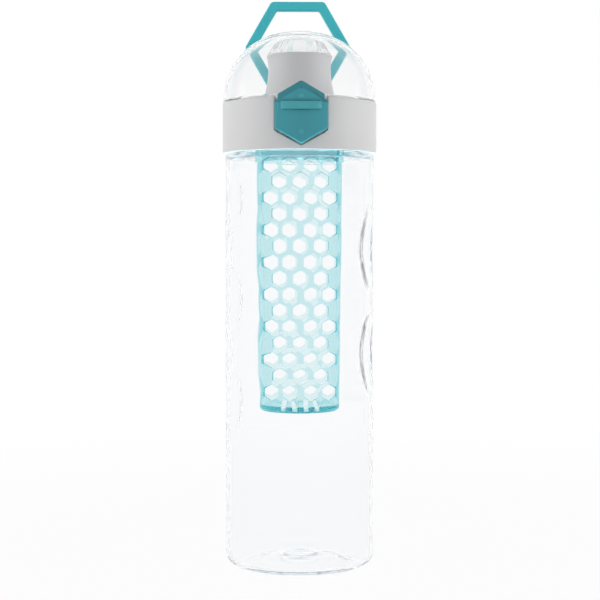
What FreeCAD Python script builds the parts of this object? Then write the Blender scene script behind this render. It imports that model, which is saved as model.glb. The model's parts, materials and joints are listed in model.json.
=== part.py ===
import FreeCAD, Part
import math
import os

from FreeCAD import Vector

# Fruit infuser water bottle. Millimetres, +Z up, origin at the centre of the foot on the table.
# The latch button faces -Y, the hinge and the carry loop are at +Y.

# Clear bottle body
body_radius = 34.0
body_wall = 2.0
base_corner = 7.0
foot_width = 2.5
push_up = 2.2
push_up_crown = 0.75
gate_disc_radius = 8.0
gate_disc_height = 0.8
shoulder_height = 188.0
shoulder_corner = 3.0
shoulder_width = 6.5
neck_height = 16.8
neck_wall = 2.2

# Thumb dimples of the grip: staggered columns of shallow spherical hollows
dimple_columns = 6
dimple_turn = 15.0
dimple_rows = 3
dimple_row_pitch = 47.0
dimple_middle = 121.4
dimple_radius = 48.0
dimple_depth = 3.4

# Infuser basket with a honeycomb of holes that run straight through front and back
basket_clearance = 5.2
basket_taper = 1.1
basket_wall = 1.6
basket_length = 135.6
basket_floor = 2.8
basket_edge = 2.0
basket_band_height = 21.6
basket_band_step = 0.6
flange_thickness = 1.8
flange_inset = 0.2
hole_flats = 7.0
hole_web = 1.5
hole_spread = 2.3
hole_inset = 1.2
hole_margin = 2.2
first_row_height = 9.2
drain_count = 4
drain_pitch = 5.0
drain_width = 2.2
drain_sill = 0.8
drain_rise = 0.2

# Silicone seals
rim_seal_thickness = 2.0
rim_seal_width = 7.0
lid_gasket_thickness = 1.2
lid_gasket_width = 7.6
mouth_pad_thickness = 1.2
mouth_pad_margin = 0.66
mouth_pad_seat = 1.5

# Lid: inner screw cap with the spout tower, and the outer collar around it
lid_gap = 0.7
thread_clearance = 1.4
skirt_wall = 1.6
latch_space = 2.3
collar_wall = 2.4
lug_root = 1.8
chamfer_width = 2.3
chamfer_height = 1.4
deck_thickness = 3.0
lip_thickness = 1.6
lip_width = 3.9
part_clearance = 0.2
tower_lip_step = 1.6
tower_waist_step = 0.9
tower_base_step = 1.1
tower_foot = 1.6
tower_lip_height = 5.6
tower_wall = 2.4

# Drinking mouthpiece
mouthpiece_height = 6.2
mouthpiece_clearance = 1.4
mouthpiece_flare = 2.6
mouthpiece_stem_wall = 1.7
mouthpiece_flange_step = 1.7
mouthpiece_flange_height = 1.6
flute_count = 14
flute_radius = 0.9
flute_depth = 0.45

# Clear flip cover: half an ellipsoid shell on the collar
cover_inset = 0.2
cover_sink = 1.3
cover_rise = 33.0
cover_wall = 2.4
cover_ceiling = 3.5
arm_root = 1.4
pad_ring_wall = 1.2
seat_clearance = 0.3

# Rear hinge shared by the cover and the carry loop
hinge_offset = 3.3
hinge_rise = 3.2
hinge_pin_radius = 1.25
hinge_fit = 0.05
hinge_eye_radius = 3.0
hinge_pin_head = 0.9
side_clearance = 0.3
spring_slot = 5.2
cover_arm_width = 2.1
collar_lug_width = 3.0
loop_ear_width = 3.0
lug_drop = 4.6
ledge_height = 2.8
ledge_reach = 0.8

# Torsion spring that lifts the cover
cover_spring_radius = 2.65
cover_spring_wire = 0.5
cover_spring_pitch = 0.95
cover_spring_turns = 3

# Carry loop: an upright hexagonal ring
loop_side = 25.6
loop_band = 4.55
loop_thickness = 4.2
loop_rise = 26.1
loop_corner = 2.4
loop_round = 0.9
loop_relief = 2.0

# Latch button: a rocking hexagonal plate in a pocket of the collar
button_flats = 23.3
button_lift = 2.1
button_plate = 2.2
pocket_depth = 1.2
pocket_margin = 0.65
button_gap = 2.0
chevron_inset = 1.4
chevron_rise = 0.8
chevron_bevel_width = 3.0
chevron_bevel_depth = 1.1
button_bevel = 0.6
button_round = 2.0
pivot_rise = 9.6
latch_pin_radius = 0.9
latch_ear_radius = 1.8
latch_ear_offset = 5.2
latch_ear_width = 1.8
latch_window_margin = 0.8
pin_boss_radius = 1.9
pin_boss_width = 2.4
catch_thickness = 1.0
catch_height = 4.3
catch_rise = 0.8
catch_bridge = 1.1
catch_slot_width = 8.4
catch_slot_height = 2.0
nose_width = 7.0
nose_height = 1.4
nose_clearance = 0.4

# Spring behind the lower half of the button
latch_spring_radius = 1.5
latch_spring_wire = 0.5
latch_spring_turns = 5
latch_spring_drop = 6.1
latch_spring_end_gap = 0.1

# Lock slider on the face of the button
slider_width = 17.8
slider_height = 3.6
slider_proud = 1.4
slider_drop = 0.9
slider_travel = 2.0
slider_stem_width = 6.0
slider_stem_height = 0.8
slider_stem_inset = 0.4
slider_keeper_width = 9.2
slider_keeper_thickness = 0.8
slider_bevel = 0.8
slider_clearance = 0.3

# Heights and radii that follow from the sizes above
neck_radius = body_radius - shoulder_width
neck_bore = neck_radius - neck_wall
neck_top = shoulder_height + neck_height
basket_radius = neck_bore - basket_clearance - basket_band_step
flange_top = neck_top + flange_thickness
flange_radius = neck_radius - flange_inset
gasket_bottom = flange_top + rim_seal_thickness
deck_bottom = gasket_bottom + lid_gasket_thickness
deck_top = deck_bottom + deck_thickness
skirt_bore = neck_radius + thread_clearance
skirt_radius = skirt_bore + skirt_wall
collar_bore = skirt_radius + latch_space
collar_radius = collar_bore + collar_wall
collar_bottom = shoulder_height + lid_gap
cover_radius = collar_radius - cover_inset
cover_base = deck_top - cover_sink
cover_top_inside = cover_base + cover_rise - cover_ceiling
mouthpiece_top = cover_top_inside - mouth_pad_thickness
tower_top = mouthpiece_top - mouthpiece_height
cover_bore = cover_radius - cover_wall
cover_bore_rise = cover_rise - cover_wall
mouth_pad_radius = cover_bore * math.sqrt(
    1 - ((cover_top_inside - cover_base) / cover_bore_rise) ** 2) - mouth_pad_margin
mouthpiece_bore_radius = mouth_pad_radius - mouth_pad_seat
mouthpiece_tip_radius = cover_bore * math.sqrt(
    1 - ((mouthpiece_top - cover_base) / cover_bore_rise) ** 2) - mouthpiece_clearance
mouthpiece_base_radius = mouthpiece_tip_radius + mouthpiece_flare
tower_lip_radius = mouthpiece_base_radius + tower_lip_step
tower_waist_radius = tower_lip_radius - tower_waist_step
tower_base_radius = tower_lip_radius + tower_base_step
hinge_y = collar_radius + hinge_offset
hinge_z = deck_top + hinge_rise
button_side = button_flats / math.sqrt(3)
button_bottom = collar_bottom + button_lift
button_corner = button_bottom + button_side / 2
button_shoulder = button_corner + button_side - chevron_rise
pocket_radius = collar_radius - pocket_depth
button_back = pocket_radius + button_gap
button_front = button_back + button_plate
pivot_y = -(collar_bore - latch_window_margin / 2)
pivot_z = button_bottom + pivot_rise
full_turn = 2 * math.pi
overlap = 0.5
hair = 0.01
far = 4 * body_radius


def point(radius, height):
    return Vector(radius, 0, height)


def outline(start, *steps):
    # A closed wire in the XZ plane; a step is a point, or a pair of points for an arc through both.
    edges = []
    here = point(*start)
    for step in list(steps) + [start]:
        if isinstance(step[0], tuple):
            there = point(*step[1])
            edges.append(Part.Arc(here, point(*step[0]), there).toShape())
        else:
            there = point(*step)
            edges.append(Part.makeLine(here, there))
        here = there
    return Part.Wire(edges)


def revolve(start, *steps):
    face = Part.Face(outline(start, *steps))
    return face.revolve(Vector(0, 0, 0), Vector(0, 0, 1), 360)


def on_circle(centre, radius, degrees):
    angle = math.radians(degrees)
    return (centre[0] + radius * math.cos(angle), centre[1] + radius * math.sin(angle))


def waist_arc(end, waist):
    # Middle point of the arc from end to waist that stands upright at the waist.
    step = end[0] - waist[0]
    rise = end[1] - waist[1]
    radius = (step ** 2 + rise ** 2) / (2 * step)
    half_angle = math.asin(rise / radius) / 2
    return (waist[0] + radius * (1 - math.cos(half_angle)), waist[1] + radius * math.sin(half_angle))


def ring(bore, radius, bottom, top):
    outer = Part.makeCylinder(radius, top - bottom, Vector(0, 0, bottom))
    return outer.cut(Part.makeCylinder(bore, top - bottom, Vector(0, 0, bottom)))


def block(x_range, y_range, z_range):
    corner = Vector(x_range[0], y_range[0], z_range[0])
    return Part.makeBox(x_range[1] - x_range[0], y_range[1] - y_range[0], z_range[1] - z_range[0], corner)


def rod_x(radius, x_range, y, z):
    return Part.makeCylinder(radius, x_range[1] - x_range[0], Vector(x_range[0], y, z), Vector(1, 0, 0))


def front_prism(points, near, deep):
    # The closed outline of (x, z) points, pushed through the front of the bottle from -near to -deep.
    corners = [Vector(x, -near, z) for x, z in points]
    face = Part.Face(Part.makePolygon(corners + [corners[0]]))
    return face.extrude(Vector(0, near - deep, 0))


def side_plate(wire_points, x_range):
    corners = [Vector(x_range[0], y, z) for y, z in wire_points]
    face = Part.Face(Part.makePolygon(corners + [corners[0]]))
    return face.extrude(Vector(x_range[1] - x_range[0], 0, 0))


def tangent_point(start, centre, radius, side):
    # Where the line from start touches the circle on its left (1) or right (-1) side.
    across = centre[0] - start[0]
    up = centre[1] - start[1]
    reach = math.hypot(across, up)
    heading = math.atan2(up, across) + side * math.asin(radius / reach)
    length = math.sqrt(reach ** 2 - radius ** 2)
    return (start[0] + length * math.cos(heading), start[1] + length * math.sin(heading))


def hinge_eye(roots, first, last, radius, x_range):
    # A flat arm from its root points to a round eye on the hinge axis.
    centre = (hinge_y, hinge_z)
    touch_last = tangent_point(last, centre, radius, 1)
    touch_first = tangent_point(first, centre, radius, -1)
    arm = side_plate([touch_last] + roots + [touch_first, centre], x_range)
    return arm.fuse(rod_x(radius, x_range, hinge_y, hinge_z))


def mirrored(shape):
    return shape.mirror(Vector(0, 0, 0), Vector(1, 0, 0))


def both_sides(make, x_range):
    return [make(x_range), mirrored(make(x_range))]


def biarc(start, start_way, end, end_way):
    # Two arcs that leave start and reach end along the given unit directions.
    span = end - start
    ways = start_way + end_way
    spread = 2 * (1 - start_way.dot(end_way))
    along = span.dot(ways)
    reach = (-along + math.sqrt(along ** 2 + spread * span.dot(span))) / spread
    middle = (start + start_way * reach + end - end_way * reach) * 0.5
    return [tangent_arc(start, start_way, middle), tangent_arc(end, end_way * -1, middle, True)]


def tangent_arc(start, way, end, turned=False):
    chord = end - start
    side = chord - way * chord.dot(way)
    radius = chord.dot(chord) / (2 * side.Length)
    centre = start + side.normalize() * radius
    out = (start + chord * 0.5 - centre).normalize()
    middle = centre + out * radius
    if turned:
        return Part.Arc(end, middle, start).toShape()
    return Part.Arc(start, middle, end).toShape()


def coil(name, place, way, quarter_turns, first_lead, last_lead, wire):
    # A wire wound by quarter turns, with straight leads at both ends.
    edges = []
    for quarter in range(quarter_turns):
        start = quarter * full_turn / 4
        end = start + full_turn / 4
        edges += biarc(place(start), way(start), place(end), way(end))
    last = quarter_turns * full_turn / 4
    lead_start = place(0) - way(0) * first_lead
    edges.insert(0, Part.makeLine(lead_start, place(0)))
    edges.append(Part.makeLine(place(last), place(last) + way(last) * last_lead))
    path = Part.Wire(edges)
    section = Part.Wire(Part.makeCircle(wire / 2, lead_start, way(0)))
    print(name, "least gap between turns", round((place(full_turn) - place(0)).Length - wire, 2))
    return path.makePipeShell([section], True, False)


def bottle_body():
    corner_centre = (body_radius - base_corner, base_corner)
    foot_bore = corner_centre[0] - foot_width
    shoulder_centre = (body_radius - shoulder_corner, shoulder_height - shoulder_corner)
    outer = revolve(
        (0, push_up),
        ((foot_bore / 2, push_up * push_up_crown), (foot_bore, 0)),
        (corner_centre[0], 0),
        (on_circle(corner_centre, base_corner, -45), (body_radius, base_corner)),
        (body_radius, shoulder_centre[1]),
        (on_circle(shoulder_centre, shoulder_corner, 45), (shoulder_centre[0], shoulder_height)),
        (neck_radius, shoulder_height),
        (neck_radius, neck_top),
        (0, neck_top))
    inner_corner = base_corner - body_wall
    inner_shoulder = shoulder_corner - body_wall
    cavity = revolve(
        (0, push_up + body_wall),
        ((foot_bore / 2, push_up * push_up_crown + body_wall), (foot_bore, body_wall)),
        (corner_centre[0], body_wall),
        (on_circle(corner_centre, inner_corner, -45), (body_radius - body_wall, base_corner)),
        (body_radius - body_wall, shoulder_centre[1]),
        (on_circle(shoulder_centre, inner_shoulder, 45), (shoulder_centre[0], shoulder_height - body_wall)),
        (neck_bore, shoulder_height - body_wall),
        (neck_bore, neck_top),
        (0, neck_top))
    gate_disc = Part.makeCylinder(gate_disc_radius, body_wall / 2 + gate_disc_height,
                                  Vector(0, 0, push_up + body_wall / 2))
    hollows = []
    swells = []
    for centre in dimple_centres():
        hollows.append(Part.makeSphere(dimple_radius, centre))
        swells.append(Part.makeSphere(dimple_radius + body_wall, centre))
    return outer.cut(Part.makeCompound(hollows)).cut(cavity.cut(swells)).fuse(gate_disc)


def dimple_centres():
    reach = body_radius - dimple_depth + dimple_radius
    centres = []
    for column in range(dimple_columns):
        angle = math.radians(dimple_turn + 360 * column / dimple_columns)
        rows = dimple_rows - column % 2
        for row in range(rows):
            height = dimple_middle + dimple_row_pitch * (row - (rows - 1) / 2)
            centres.append(Vector(reach * math.sin(angle), -reach * math.cos(angle), height))
    return centres


def hole_columns(odd_row):
    # Evenly spaced around the tube, staggered from row to row, and pulled straight through it.
    reach = basket_radius - hole_inset
    half_count = int(math.pi * reach / (hole_flats + hole_spread))
    columns = [0] if odd_row else []
    for step in range(half_count // 2):
        x = reach * math.sin(math.pi / half_count * (step + (1 if odd_row else 0.5)))
        if x + hole_flats / 2 < basket_radius - hole_margin:
            columns += [x, -x]
    return columns


def basket_holes(band_bottom, bottom):
    row_pitch = (hole_flats + hole_web) * math.sqrt(3) / 2
    corner_reach = hole_flats / math.sqrt(3)
    first_row = bottom + first_row_height
    row_total = int((band_bottom - first_row) / row_pitch) + 1
    holes = []
    for row in range(row_total):
        z = first_row + row_pitch * row
        for x in hole_columns(row % 2):
            corners = [on_circle((x, z), corner_reach, 30 + 60 * corner) for corner in range(6)]
            holes.append(front_prism(corners, far, -far))
    return holes


def infuser_basket():
    bottom = flange_top - basket_length
    foot_radius = basket_radius - basket_taper
    edge_centre = (foot_radius - basket_edge, bottom + basket_edge)
    floor = bottom + basket_floor
    tube = revolve(
        (0, bottom),
        (edge_centre[0], bottom),
        (on_circle(edge_centre, basket_edge, -45), (foot_radius, edge_centre[1])),
        (basket_radius, neck_top),
        (basket_radius, flange_top),
        (basket_radius - basket_wall, flange_top),
        (foot_radius - basket_wall, floor),
        (0, floor))
    band_bottom = flange_top - basket_band_height
    drains = []
    for slot in range(drain_count):
        x = drain_pitch * (slot - (drain_count - 1) / 2)
        drains.append(block((x - drain_width / 2, x + drain_width / 2), (-far, far),
                            (bottom + drain_sill, floor + drain_rise)))
    tube = tube.cut(Part.makeCompound(basket_holes(band_bottom, bottom) + drains))
    bore = basket_radius - basket_wall / 2
    band = ring(bore, basket_radius + basket_band_step, band_bottom, neck_top)
    flange = ring(bore, flange_radius, neck_top, flange_top)
    return tube.fuse([band, flange]).removeSplitter()


def rim_seal():
    return ring(flange_radius - rim_seal_width, flange_radius, flange_top, gasket_bottom)


def lid_gasket():
    radius = skirt_bore - seat_clearance
    return ring(radius - lid_gasket_width, radius, gasket_bottom, deck_bottom)


def lid_body():
    lip_bore = collar_bore - lip_width
    waist_z = tower_top - tower_lip_height
    waist = (tower_waist_radius, waist_z)
    foot = (tower_base_radius, deck_top + tower_foot)
    lip = (tower_lip_radius, tower_top)
    shoulder = deck_top - lip_thickness
    hole = mouthpiece_bore_radius + mouthpiece_stem_wall
    ceiling = tower_top - tower_wall
    return revolve(
        (skirt_bore, collar_bottom + lid_gap),
        (skirt_radius, collar_bottom + lid_gap),
        (skirt_radius, shoulder - lip_thickness),
        (collar_bore - part_clearance, shoulder - lip_thickness),
        (collar_bore - part_clearance, shoulder),
        (lip_bore - part_clearance, shoulder),
        (lip_bore - part_clearance, deck_top),
        (tower_base_radius, deck_top),
        foot,
        (waist_arc(foot, waist), waist),
        (waist_arc(lip, waist), lip),
        (hole, tower_top),
        (hole, ceiling),
        (tower_waist_radius - tower_wall, ceiling),
        (tower_waist_radius - tower_wall, waist_z),
        (tower_base_radius - tower_wall, deck_bottom),
        (skirt_bore, deck_bottom))


def mouthpiece():
    stem = mouthpiece_bore_radius + mouthpiece_stem_wall
    ceiling = tower_top - tower_wall
    foot = ceiling - mouthpiece_flange_height
    spout = revolve(
        (mouthpiece_bore_radius, foot),
        (stem + mouthpiece_flange_step, foot),
        (stem + mouthpiece_flange_step, ceiling),
        (stem, ceiling),
        (stem, tower_top),
        (mouthpiece_base_radius, tower_top),
        (mouthpiece_tip_radius, mouthpiece_top),
        (mouthpiece_bore_radius, mouthpiece_top))
    lean = Vector(mouthpiece_tip_radius - mouthpiece_base_radius, 0, mouthpiece_height)
    start = Vector(mouthpiece_base_radius + flute_radius - flute_depth, 0, tower_top)
    flutes = []
    for flute in range(flute_count):
        groove = Part.makeCylinder(flute_radius, lean.Length * 2, start, lean)
        groove.rotate(Vector(0, 0, 0), Vector(0, 0, 1), 360 * flute / flute_count)
        flutes.append(groove)
    return spout.cut(Part.makeCompound(flutes))


def pocket_outline():
    half = button_flats / 2 + pocket_margin
    foot = button_bottom - 2 * pocket_margin / math.sqrt(3)
    corner = foot + half / math.sqrt(3)
    top = deck_top + overlap
    return [(0, foot), (half, corner), (half, top), (-half, top), (-half, corner)]


def collar_lug(x_range):
    wall_y = collar_radius - lug_root
    low = (wall_y, deck_top - lug_drop)
    high = (collar_radius - seat_clearance, deck_top - chamfer_height - seat_clearance)
    return hinge_eye([high, (wall_y, high[1]), low], low, high, hinge_eye_radius, x_range)


def pin_boss(x_range):
    return rod_x(pin_boss_radius, x_range, pivot_y, pivot_z)


def lid_collar():
    lip_bore = collar_bore - lip_width
    top_radius = collar_radius - chamfer_width
    shell = revolve(
        (collar_bore, collar_bottom),
        (collar_radius, collar_bottom),
        (collar_radius, deck_top - chamfer_height),
        (top_radius, deck_top),
        (lip_bore, deck_top),
        (lip_bore, deck_top - lip_thickness),
        (collar_bore, deck_top - lip_thickness))
    pocket_floor = Part.makeCylinder(pocket_radius, far, Vector(0, 0, collar_bottom - overlap))
    pocket = front_prism(pocket_outline(), far, 0).cut(pocket_floor)
    ears_end = latch_ear_offset + latch_ear_width
    window_half = ears_end + side_clearance
    window = block((-window_half, window_half), (-far, 0),
                   (pivot_z - latch_ear_radius - latch_window_margin,
                    pivot_z + latch_ear_radius + latch_window_margin))
    window = window.cut(Part.makeCylinder(skirt_radius, far))
    spring_hole = Part.makeCylinder(latch_spring_radius + latch_spring_wire + side_clearance, far,
                                    Vector(0, 0, pivot_z - latch_spring_drop), Vector(0, -1, 0))
    shell = shell.cut([pocket, window, spring_hole])
    shell = shell.fuse(both_sides(pin_boss, (window_half, window_half + pin_boss_width)))
    lug_start = spring_slot / 2 + cover_arm_width + side_clearance
    ledge = block((-lug_start - overlap, lug_start + overlap),
                  (collar_radius - seat_clearance, collar_radius + ledge_reach),
                  (deck_top - ledge_height, deck_top))
    ledge = ledge.cut(half_ellipsoid(cover_radius + seat_clearance, cover_rise))
    lugs = both_sides(collar_lug, (lug_start, lug_start + collar_lug_width))
    shell = shell.fuse(lugs + [ledge])
    pin_reach = window_half + pin_boss_width - overlap
    pin_holes = [rod_x(latch_pin_radius, (-pin_reach, pin_reach), pivot_y, pivot_z),
                 rod_x(hinge_pin_radius, (-far, far), hinge_y, hinge_z)]
    return shell.cut(pin_holes).removeSplitter()


def half_ellipsoid(radius, rise):
    # Upper half of an ellipsoid of revolution, standing on the cover's base plane.
    centre = point(0, cover_base)
    rim = point(radius, cover_base)
    crown = point(0, cover_base + rise)
    longer, shorter = (rim, crown) if radius >= rise else (crown, rim)
    arc = Part.ArcOfEllipse(Part.Ellipse(longer, shorter, centre), 0, full_turn / 4).toShape()
    sides = Part.sortEdges([Part.makeLine(centre, rim), arc, Part.makeLine(crown, centre)])[0]
    return Part.Face(Part.Wire(sides)).revolve(Vector(0, 0, 0), Vector(0, 0, 1), 360)


def cover_arm(x_range):
    radius = hinge_eye_radius - seat_clearance
    wall_y = cover_radius - arm_root
    low = (wall_y, hinge_z - radius)
    high = (wall_y, hinge_z + radius)
    return hinge_eye([high, low], low, high, radius, x_range)


def cover_catch():
    # A bar across the front of the rim that hangs into the collar's pocket, with a slot for the nose.
    half = button_flats / 2
    back = pocket_radius + seat_clearance
    top = deck_top + catch_rise
    bridge_bottom = deck_top + seat_clearance
    slab = block((-half, half), (-far, 0), (top - catch_height, top))
    bar = ring(back, back + catch_thickness, top - catch_height, top).common(slab)
    bridge = ring(cover_radius - cover_wall / 2, back + catch_thickness, bridge_bottom,
                  bridge_bottom + catch_bridge).common(slab.fuse(slab.translated(Vector(0, 0, catch_rise))))
    slot_middle = nose_middle()
    slot = block((-catch_slot_width / 2, catch_slot_width / 2), (-far, 0),
                 (slot_middle - catch_slot_height / 2, slot_middle + catch_slot_height / 2))
    slot = slot.cut(Part.makeCylinder(pocket_radius, far))
    return [bar.cut(slot), bridge]


def nose_middle():
    return deck_top + catch_rise - catch_height / 2


def flip_cover():
    shell = half_ellipsoid(cover_radius, cover_rise)
    ceiling = Part.makeCylinder(cover_radius, cover_top_inside - cover_base, Vector(0, 0, cover_base))
    inside = half_ellipsoid(cover_bore, cover_bore_rise).common(ceiling)
    shell = shell.cut(inside)
    slope = chamfer_width / chamfer_height
    seat = revolve(
        (0, deck_top),
        (collar_radius - chamfer_width + seat_clearance * slope, deck_top),
        (collar_radius, deck_top - chamfer_height + seat_clearance),
        (collar_radius, cover_base - overlap),
        (0, cover_base - overlap))
    shell = shell.cut(seat)
    pad_radius = mouth_pad_radius + part_clearance
    pad_ring = ring(pad_radius, pad_radius + pad_ring_wall, cover_top_inside - mouth_pad_thickness / 2,
                    cover_top_inside + overlap)
    slot_half = spring_slot / 2
    arms = both_sides(cover_arm, (slot_half, slot_half + cover_arm_width))
    shell = shell.fuse([pad_ring] + cover_catch() + arms)
    return shell.cut(rod_x(hinge_pin_radius + hinge_fit, (-far, far), hinge_y, hinge_z)).removeSplitter()


def mouth_pad():
    bottom = cover_top_inside - mouth_pad_thickness
    return Part.makeCylinder(mouth_pad_radius, mouth_pad_thickness, Vector(0, 0, bottom))


def loop_reach():
    lug_start = spring_slot / 2 + cover_arm_width + side_clearance
    ear_start = lug_start + collar_lug_width + side_clearance
    return ear_start, ear_start + loop_ear_width


def hinge_pin():
    reach = loop_reach()[1] + side_clearance
    shank = rod_x(hinge_pin_radius, (-reach, reach), hinge_y, hinge_z)
    heads = []
    for end in (reach, -reach - hinge_pin_head):
        heads.append(rod_x(hinge_pin_radius + hinge_pin_head, (end, end + hinge_pin_head), hinge_y, hinge_z))
    return shank.fuse(heads).removeSplitter()


def loop_ear(x_range):
    top = hinge_z + loop_rise - loop_side * math.sqrt(3) / 2 + loop_band / 2
    half = loop_thickness / 2
    low = (hinge_y - half, top)
    high = (hinge_y + half, top)
    return hinge_eye([high, low], low, high, hinge_eye_radius, x_range)


def hexagon_slab(side, corner):
    centre = (0, hinge_z + loop_rise)
    corners = [Vector(x, hinge_y - loop_thickness / 2, z)
               for x, z in [on_circle(centre, side, 60 * step) for step in range(6)]]
    slab = Part.Face(Part.makePolygon(corners + [corners[0]])).extrude(Vector(0, loop_thickness, 0))
    uprights = [edge for edge in slab.Edges if abs(edge.Length - loop_thickness) < hair]
    return slab.makeFillet(corner, uprights)


def carry_loop():
    inner_side = loop_side - 2 * loop_band / math.sqrt(3)
    slab = hexagon_slab(loop_side, loop_corner).cut(hexagon_slab(inner_side, loop_corner / 2))
    faces = (hinge_y - loop_thickness / 2, hinge_y + loop_thickness / 2)
    rims = [edge for edge in slab.Edges
            if all(abs(vertex.Y - edge.Vertexes[0].Y) < hair for vertex in edge.Vertexes)
            and min(abs(edge.Vertexes[0].Y - face) for face in faces) < hair]
    slab = slab.makeFillet(loop_round, rims)
    ear_start = loop_reach()[0]
    bar_bottom = hinge_z + loop_rise - loop_side * math.sqrt(3) / 2
    relief = block((-ear_start, ear_start), (0, far), (bar_bottom - overlap, bar_bottom + loop_relief))
    loop = slab.cut(relief).fuse(both_sides(loop_ear, loop_reach()))
    return loop.cut(rod_x(hinge_pin_radius + hinge_fit, (-far, far), hinge_y, hinge_z)).removeSplitter()


def cover_spring():
    length = cover_spring_pitch * (cover_spring_turns + 0.5)

    def angle(turn):
        return turn - full_turn / 4

    def place(turn):
        return Vector(cover_spring_pitch * turn / full_turn - length / 2,
                      hinge_y + cover_spring_radius * math.cos(angle(turn)),
                      hinge_z + cover_spring_radius * math.sin(angle(turn)))

    def way(turn):
        return Vector(cover_spring_pitch / full_turn, -cover_spring_radius * math.sin(angle(turn)),
                      cover_spring_radius * math.cos(angle(turn))).normalize()

    low_lead = hinge_offset - seat_clearance
    high_lead = hinge_y - cover_radius - cover_spring_wire
    return coil("cover_spring", place, way, 4 * cover_spring_turns + 2, low_lead, high_lead,
                cover_spring_wire)


def button_outline():
    half = button_flats / 2
    shoulder = button_shoulder
    neck = half - chevron_inset
    corner = shoulder + chevron_inset * math.sqrt(3)
    apex = corner + neck / math.sqrt(3)
    return [(0, button_bottom), (half, button_corner), (half, shoulder), (neck, shoulder), (neck, corner),
            (0, apex), (-neck, corner), (-neck, shoulder), (-half, shoulder), (-half, button_corner)]


def latch_ear(x_range):
    arm = block(x_range, (-button_back - overlap, pivot_y),
                (pivot_z - latch_ear_radius, pivot_z + latch_ear_radius))
    return arm.fuse(rod_x(latch_ear_radius, x_range, pivot_y, pivot_z))


def latch_button():
    prism = front_prism(button_outline(), far, 0)
    tips = [edge for edge in prism.Edges
            if abs(edge.Length - far) < hair and abs(edge.CenterOfMass.x) < hair]
    plate = prism.makeFillet(button_round, tips).common(
        ring(button_back, button_front, button_bottom - overlap, button_bottom + far))
    plate = bevel_front(plate)
    nose = block((-nose_width / 2, nose_width / 2), (-far, 0),
                 (nose_middle() - nose_height / 2, nose_middle() + nose_height / 2))
    nose_tip = pocket_radius + seat_clearance + catch_thickness + nose_clearance
    nose = nose.common(ring(nose_tip, button_back + overlap, collar_bottom, deck_top))
    ears = both_sides(latch_ear, (latch_ear_offset, latch_ear_offset + latch_ear_width))
    plate = plate.fuse([nose] + ears)
    pin_hole = rod_x(latch_pin_radius + hinge_fit, (-far, far), pivot_y, pivot_z)
    stem_bottom, stem_top = slider_stem_span()
    slot_half = slider_stem_width / 2 + slider_clearance
    slot = block((-slot_half, slot_half), (-far, 0),
                 (stem_bottom - slider_travel - slider_clearance, stem_top + slider_clearance))
    slot = slot.cut(Part.makeCylinder(pocket_radius, far))
    return plate.cut([pin_hole, slot]).removeSplitter()


def bevel_front(plate):
    # A fine bevel round the bottom and a wide one along the two top edges.
    fine = []
    for edge in plate.Edges:
        centre = edge.CenterOfMass
        on_front = math.hypot(centre.x, centre.y) > (button_back + button_front) / 2
        across = abs(edge.Vertexes[0].X - edge.Vertexes[-1].X) > hair
        if on_front and across and centre.z < button_corner:
            fine.append(edge)
    plate = plate.makeChamfer(button_bevel, fine)
    outer, tip = button_outline()[4:6]
    corner = Vector(outer[0], -math.sqrt(button_front ** 2 - outer[0] ** 2), outer[1])
    apex = Vector(tip[0], -button_front, tip[1])
    along = apex - corner
    across = Vector(math.sin(math.radians(30)), 0, math.cos(math.radians(30)))
    start = corner - along
    low = start - across * chevron_bevel_width
    deep = start + Vector(0, chevron_bevel_depth, 0)
    wedge = Part.makePolygon([low, deep, start + (across - Vector(0, 1, 0)) * button_side, low])
    wedge = Part.Face(wedge).extrude(along * 3).common(block((0, far), (-far, 0), (0, deck_top + far)))
    return plate.cut([wedge, mirrored(wedge)])


def latch_pin():
    reach = latch_ear_offset + latch_ear_width + side_clearance + pin_boss_width - overlap
    return rod_x(latch_pin_radius, (-reach, reach), pivot_y, pivot_z)


def latch_spring():
    inner_end = skirt_radius + latch_spring_end_gap + latch_spring_wire / 2
    outer_end = button_back - latch_spring_end_gap - latch_spring_wire / 2
    pitch = (outer_end - inner_end) / latch_spring_turns
    height = pivot_z - latch_spring_drop

    def place(turn):
        return Vector(latch_spring_radius * math.cos(turn), -inner_end - pitch * turn / full_turn,
                      height + latch_spring_radius * math.sin(turn))

    def way(turn):
        return Vector(-latch_spring_radius * math.sin(turn), -pitch / full_turn,
                      latch_spring_radius * math.cos(turn)).normalize()

    return coil("latch_spring", place, way, 4 * latch_spring_turns, latch_spring_wire, latch_spring_wire,
                latch_spring_wire)


def slider_stem_span():
    top = button_shoulder - slider_drop - slider_stem_inset
    return top - slider_stem_height, top


def lock_slider():
    top = button_shoulder - slider_drop
    bottom = top - slider_height
    stem_bottom, stem_top = slider_stem_span()
    half = slider_width / 2
    face = button_front + slider_clearance
    bar = block((-half, half), (-far, 0), (bottom, top)).common(ring(face, face + slider_proud, bottom, top))
    rims = []
    for edge in bar.Edges:
        centre = edge.CenterOfMass
        on_front = math.hypot(centre.x, centre.y) > face + slider_proud / 2
        if on_front and centre.z < top - hair and edge.Length > slider_proud + hair:
            rims.append(edge)
    bar = bar.makeChamfer(slider_bevel, rims)
    keeper_back = button_back - slider_clearance
    stem = block((-slider_stem_width / 2, slider_stem_width / 2), (-far, 0), (stem_bottom, stem_top))
    stem = stem.common(ring(keeper_back - slider_keeper_thickness / 2, face + slider_proud / 2,
                            stem_bottom, stem_top))
    keeper = block((-slider_keeper_width / 2, slider_keeper_width / 2), (-far, 0), (bottom, stem_top))
    keeper = keeper.common(ring(keeper_back - slider_keeper_thickness, keeper_back, bottom, stem_top))
    return bar.fuse([stem, keeper]).removeSplitter()


makers = [bottle_body, infuser_basket, rim_seal, lid_gasket, lid_body, lid_collar, mouthpiece, flip_cover,
          mouth_pad, hinge_pin, cover_spring, carry_loop, latch_button, latch_pin, latch_spring, lock_slider]

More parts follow.
